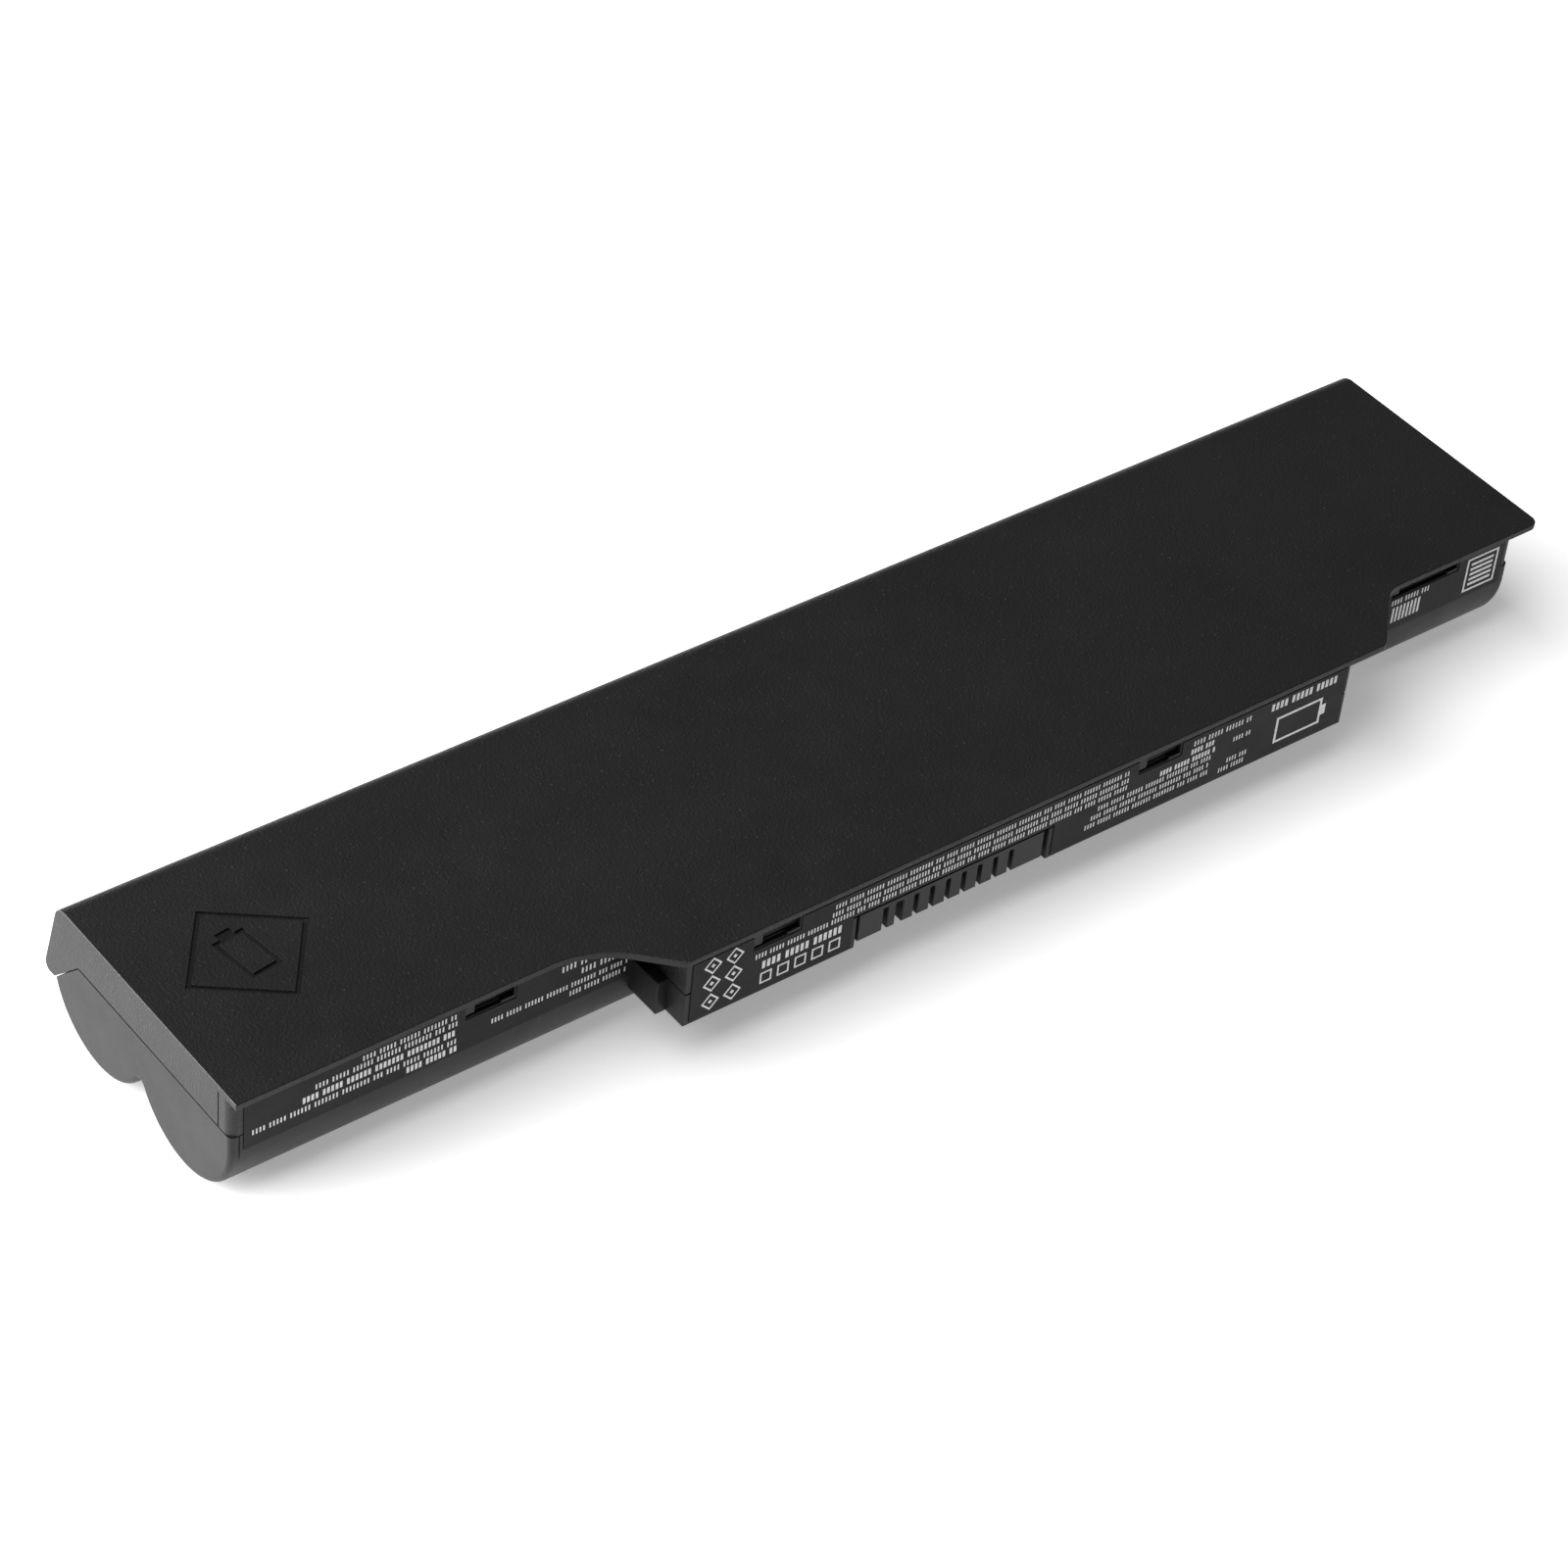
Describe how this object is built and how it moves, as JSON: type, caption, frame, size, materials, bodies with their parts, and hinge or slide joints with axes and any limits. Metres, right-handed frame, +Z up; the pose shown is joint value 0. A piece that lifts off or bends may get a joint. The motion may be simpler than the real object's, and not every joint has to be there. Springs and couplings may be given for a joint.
{
  "type": "laptop battery pack",
  "caption": "Slim laptop battery pack with overhanging cover plate, double-lobed tub, comb connector block, cylindrical cells, straps and protection board",
  "frame": {"origin": "bottom centre of the pack's bounding box, under the lobes", "axes": "+X along the pack away from the end with the sunk mark, +Y towards the rear curtain, -Y the connector side, +Z up through the cover plate"},
  "size_m": [0.22, 0.0542, 0.0206],
  "materials": {
    "cover_plastic": "fine spark-eroded texture",
    "case_plastic": "satin",
    "label_film": "satin laminated film",
    "connector_plastic": "satin",
    "contact_gold": "gold flash",
    "board_laminate": "solder mask",
    "chip_resin": "moulded",
    "fuse_body": "glazed",
    "resistor_body": "moulded",
    "capacitor_body": "fired",
    "thermistor_resin": "dipped",
    "nickel_strip": "rolled",
    "wire_black": "extruded",
    "wire_red": "extruded",
    "insulating_paper": "pressed",
    "foam": "closed cell",
    "cell_steel": "plated",
    "cell_sleeve": "heat shrunk",
    "cell_core": "wound foil",
    "gasket_rubber": "moulded"
  },
  "bodies": {
    "pack": {"upper_cover": "cover_plastic", "lower_case": "case_plastic", "label_left": "label_film", "label_block": "label_film", "label_right": "label_film", "connector_housing": "connector_plastic", "contact_bases": "contact_gold", "circuit_board": "board_laminate", "mosfets": "chip_resin", "gauge_chip": "chip_resin", "protector_chip": "chip_resin", "chip_fuse": "fuse_body", "shunt_resistor": "resistor_body", "chip_capacitors": "capacitor_body", "chip_resistors": "resistor_body", "thermistor": "thermistor_resin", "thermal_cutoff": "fuse_body", "strap_negative": "nickel_strip", "strap_tap_1": "nickel_strip", "strap_tap_2": "nickel_strip", "strap_positive": "nickel_strip", "wire_negative": "wire_black", "wire_positive": "wire_red", "insulator_left": "insulating_paper", "insulator_mid_1": "insulating_paper", "insulator_mid_2": "insulating_paper", "insulator_right": "insulating_paper", "foam_pad_left": "foam", "foam_pad_right": "foam", "cell_can_1": "cell_steel", "cell_can_2": "cell_steel", "cell_can_3": "cell_steel", "cell_can_4": "cell_steel", "cell_can_5": "cell_steel", "cell_can_6": "cell_steel", "cell_sleeve_1": "cell_sleeve", "cell_sleeve_2": "cell_sleeve", "cell_sleeve_3": "cell_sleeve", "cell_sleeve_4": "cell_sleeve", "cell_sleeve_5": "cell_sleeve", "cell_sleeve_6": "cell_sleeve", "cell_cores": "cell_core", "cell_gaskets": "gasket_rubber", "cell_caps": "cell_steel", "cell_end_rings": "insulating_paper"},
    "leaf_1": {"contact_leaf_1": "contact_gold"},
    "leaf_2": {"contact_leaf_2": "contact_gold"},
    "leaf_3": {"contact_leaf_3": "contact_gold"},
    "leaf_4": {"contact_leaf_4": "contact_gold"},
    "leaf_5": {"contact_leaf_5": "contact_gold"},
    "leaf_6": {"contact_leaf_6": "contact_gold"},
    "leaf_7": {"contact_leaf_7": "contact_gold"}
  },
  "joints": [
    {"name": "contact_1_flex", "type": "hinge", "parent": "pack", "child": "leaf_1", "pos_m": [-0.00968, -0.02085, 0.0105], "axis": [0, 0, 1], "range_deg": [0, 3], "stiffness_Nm_per_rad": 0.06},
    {"name": "contact_2_flex", "type": "hinge", "parent": "pack", "child": "leaf_2", "pos_m": [-0.00699, -0.02085, 0.0105], "axis": [0, 0, 1], "range_deg": [0, 3], "stiffness_Nm_per_rad": 0.06},
    {"name": "contact_3_flex", "type": "hinge", "parent": "pack", "child": "leaf_3", "pos_m": [-0.0043, -0.02085, 0.0105], "axis": [0, 0, 1], "range_deg": [0, 3], "stiffness_Nm_per_rad": 0.06},
    {"name": "contact_4_flex", "type": "hinge", "parent": "pack", "child": "leaf_4", "pos_m": [-0.00161, -0.02085, 0.0105], "axis": [0, 0, 1], "range_deg": [0, 3], "stiffness_Nm_per_rad": 0.06},
    {"name": "contact_5_flex", "type": "hinge", "parent": "pack", "child": "leaf_5", "pos_m": [0.00108, -0.02085, 0.0105], "axis": [0, 0, 1], "range_deg": [0, 3], "stiffness_Nm_per_rad": 0.06},
    {"name": "contact_6_flex", "type": "hinge", "parent": "pack", "child": "leaf_6", "pos_m": [0.00377, -0.02085, 0.0105], "axis": [0, 0, 1], "range_deg": [0, 3], "stiffness_Nm_per_rad": 0.06},
    {"name": "contact_7_flex", "type": "hinge", "parent": "pack", "child": "leaf_7", "pos_m": [0.00646, -0.02085, 0.0105], "axis": [0, 0, 1], "range_deg": [0, 3], "stiffness_Nm_per_rad": 0.06}
  ]
}
